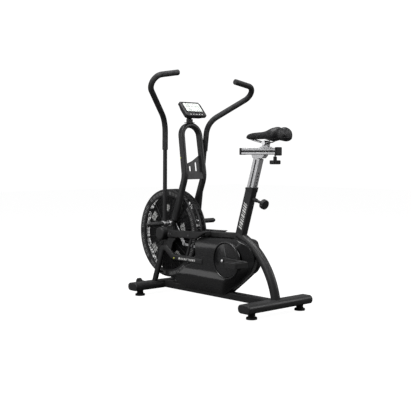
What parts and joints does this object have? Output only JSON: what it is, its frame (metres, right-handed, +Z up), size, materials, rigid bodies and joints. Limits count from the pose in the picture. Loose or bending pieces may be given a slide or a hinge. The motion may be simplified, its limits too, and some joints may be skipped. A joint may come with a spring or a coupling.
{
  "type": "fan exercise bike",
  "caption": "Upright exercise bike with a caged air fan in front, rocking handles, fixed foot pegs, a console and a sliding saddle on a height-adjustable post.",
  "frame": {"origin": "on the floor, at the centre of the overall box", "axes": "+Z up, +X to the rider's left, -Y to the front, where the fan is"},
  "size_m": [0.6502, 1.204, 1.3657],
  "materials": {
    "frame_paint": "satin black powder coat",
    "guard_paint": "satin black coated cage with a pale printed ring",
    "fan_metal": "black coated sheet",
    "black_plastic": "fine-grained black plastic",
    "gloss_black": "smooth black plastic",
    "anodised": "silver anodised extrusion",
    "chrome_plate": "bright plated steel",
    "plain_steel": "bare steel",
    "foam": "matt foam sleeve",
    "rubber_black": "black moulded rubber",
    "vinyl": "grained black vinyl",
    "display": "pale grey display window",
    "bronze": "sintered bronze"
  },
  "bodies": {
    "frame": {"front_stabiliser": "frame_paint", "rear_stabiliser": "frame_paint", "stabiliser_end_caps": "black_plastic", "base_tube": "frame_paint", "side_tubes": "frame_paint", "upper_stays": "frame_paint", "frame_plates": "frame_paint", "foot_pegs": "frame_paint", "seat_tube": "frame_paint", "rear_leg": "frame_paint", "top_tube": "frame_paint", "bottom_bracket_shell": "frame_paint", "seat_tube_collar": "black_plastic", "bearings_and_bushes": "bronze", "upright_loop": "frame_paint", "upright_panel": "frame_paint", "shroud_left": "gloss_black", "shroud_right": "gloss_black", "guard_left": "guard_paint", "guard_right": "guard_paint", "hub_covers": "black_plastic", "fan_axle": "plain_steel", "drive_chain": "plain_steel", "console_neck": "frame_paint", "frame_bolts": "plain_steel"},
    "fan": {"fan_wheel": "fan_metal", "fan_hub": "plain_steel"},
    "crank": {"crank_axle": "plain_steel", "crank_arms": "frame_paint", "crank_discs": "gloss_black", "chainring": "plain_steel"},
    "pedal_left": {"pedal_left": "black_plastic"},
    "pedal_right": {"pedal_right": "black_plastic"},
    "handle_left": {"handle_left": "frame_paint", "grip_left": "foam", "lever_left": "chrome_plate"},
    "handle_right": {"handle_right": "frame_paint", "grip_right": "foam", "lever_right": "chrome_plate"},
    "link_rod_left": {"link_rod_left": "chrome_plate"},
    "link_rod_right": {"link_rod_right": "chrome_plate"},
    "seat_post": {"seat_post": "anodised", "seat_rail": "anodised", "rail_caps": "black_plastic"},
    "seat_carriage": {"seat_carriage": "anodised"},
    "saddle": {"saddle": "vinyl", "saddle_rails": "chrome_plate"},
    "height_pin": {"height_pin": "black_plastic"},
    "rail_knob": {"rail_knob": "black_plastic"},
    "console": {"console_case": "black_plastic", "console_screen": "display"},
    "button_left": {"button_left": "gloss_black"},
    "button_middle": {"button_middle": "gloss_black"},
    "button_right": {"button_right": "gloss_black"},
    "transport_wheel_left": {"transport_wheel_left": "rubber_black"},
    "transport_wheel_right": {"transport_wheel_right": "rubber_black"},
    "foot_front_left": {"foot_front_left": "rubber_black"},
    "foot_front_right": {"foot_front_right": "rubber_black"},
    "foot_rear_left": {"foot_rear_left": "rubber_black"},
    "foot_rear_right": {"foot_rear_right": "rubber_black"}
  },
  "joints": [
    {"name": "crank_spin", "type": "hinge", "parent": "frame", "child": "crank", "pos_m": [0, 0.255, 0.274], "axis": [1, 0, 0], "continuous": true},
    {"name": "fan_spin", "type": "hinge", "parent": "frame", "child": "fan", "pos_m": [0, -0.33, 0.384], "axis": [1, 0, 0], "continuous": true},
    {"name": "pedal_left_spin", "type": "hinge", "parent": "crank", "child": "pedal_left", "pos_m": [0.176, 0.425, 0.274], "axis": [1, 0, 0], "continuous": true},
    {"name": "pedal_right_spin", "type": "hinge", "parent": "crank", "child": "pedal_right", "pos_m": [-0.176, 0.085, 0.274], "axis": [1, 0, 0], "continuous": true},
    {"name": "handle_left_swing", "type": "hinge", "parent": "frame", "child": "handle_left", "pos_m": [0.1, -0.241, 0.453], "axis": [1, 0, 0], "range_deg": [-19.5, 6.5]},
    {"name": "handle_right_swing", "type": "hinge", "parent": "frame", "child": "handle_right", "pos_m": [-0.1, -0.241, 0.453], "axis": [1, 0, 0], "range_deg": [-6.5, 19.5]},
    {"name": "link_rod_left_turn", "type": "hinge", "parent": "handle_left", "child": "link_rod_left", "pos_m": [0.066, -0.14408, 0.33332], "axis": [1, 0, 0], "range_deg": [-8, 24]},
    {"name": "link_rod_right_turn", "type": "hinge", "parent": "handle_right", "child": "link_rod_right", "pos_m": [-0.066, -0.17349, 0.31459], "axis": [1, 0, 0], "range_deg": [-24, 8]},
    {"name": "seat_height", "type": "slide", "parent": "frame", "child": "seat_post", "axis": [0, 0.3007, 0.9537], "range_m": [-0.13, 0.075]},
    {"name": "seat_fore_aft", "type": "slide", "parent": "seat_post", "child": "seat_carriage", "axis": [0, 1, 0], "range_m": [-0.12, 0.03]},
    {"name": "saddle_tilt", "type": "hinge", "parent": "seat_carriage", "child": "saddle", "pos_m": [0, 0.473, 0.932], "axis": [1, 0, 0], "range_deg": [-10, 10]},
    {"name": "height_pin_pull", "type": "slide", "parent": "frame", "child": "height_pin", "axis": [0, 0.9537, -0.3007], "range_m": [0, 0.01], "stiffness_N_per_m": 1200, "springref_m": -0.004},
    {"name": "rail_knob_turn", "type": "hinge", "parent": "seat_post", "child": "rail_knob", "pos_m": [0, 0.542, 0.828], "axis": [0, 0, 1], "continuous": true},
    {"name": "console_tilt", "type": "hinge", "parent": "frame", "child": "console", "pos_m": [0, -0.17, 1.092], "axis": [1, 0, 0], "range_deg": [-10, 10]},
    {"name": "button_left_press", "type": "slide", "parent": "console", "child": "button_left", "axis": [0, -0.7431, -0.6691], "range_m": [0, 0.0015], "stiffness_N_per_m": 400, "springref_m": -0.0005},
    {"name": "button_middle_press", "type": "slide", "parent": "console", "child": "button_middle", "axis": [0, -0.7431, -0.6691], "range_m": [0, 0.0015], "stiffness_N_per_m": 400, "springref_m": -0.0005},
    {"name": "button_right_press", "type": "slide", "parent": "console", "child": "button_right", "axis": [0, -0.7431, -0.6691], "range_m": [0, 0.0015], "stiffness_N_per_m": 400, "springref_m": -0.0005},
    {"name": "transport_wheel_left_spin", "type": "hinge", "parent": "frame", "child": "transport_wheel_left", "pos_m": [0.142, -0.488, 0.071], "axis": [1, 0, 0], "continuous": true},
    {"name": "transport_wheel_right_spin", "type": "hinge", "parent": "frame", "child": "transport_wheel_right", "pos_m": [-0.142, -0.488, 0.071], "axis": [1, 0, 0], "continuous": true},
    {"name": "foot_front_left_turn", "type": "hinge", "parent": "frame", "child": "foot_front_left", "pos_m": [0.19, -0.417, 0.017], "axis": [0, 0, 1], "continuous": true},
    {"name": "foot_front_right_turn", "type": "hinge", "parent": "frame", "child": "foot_front_right", "pos_m": [-0.19, -0.417, 0.017], "axis": [0, 0, 1], "continuous": true},
    {"name": "foot_rear_left_turn", "type": "hinge", "parent": "frame", "child": "foot_rear_left", "pos_m": [0.19, 0.557, 0.017], "axis": [0, 0, 1], "continuous": true},
    {"name": "foot_rear_right_turn", "type": "hinge", "parent": "frame", "child": "foot_rear_right", "pos_m": [-0.19, 0.557, 0.017], "axis": [0, 0, 1], "continuous": true}
  ],
  "couplings": [
    {"joint": "fan_spin", "follows": "crank_spin", "ratio": 3.5},
    {"joint": "handle_right_swing", "follows": "handle_left_swing", "ratio": -1},
    {"joint": "link_rod_left_turn", "follows": "handle_left_swing", "ratio": -1.2},
    {"joint": "link_rod_right_turn", "follows": "handle_left_swing", "ratio": 1.2}
  ]
}
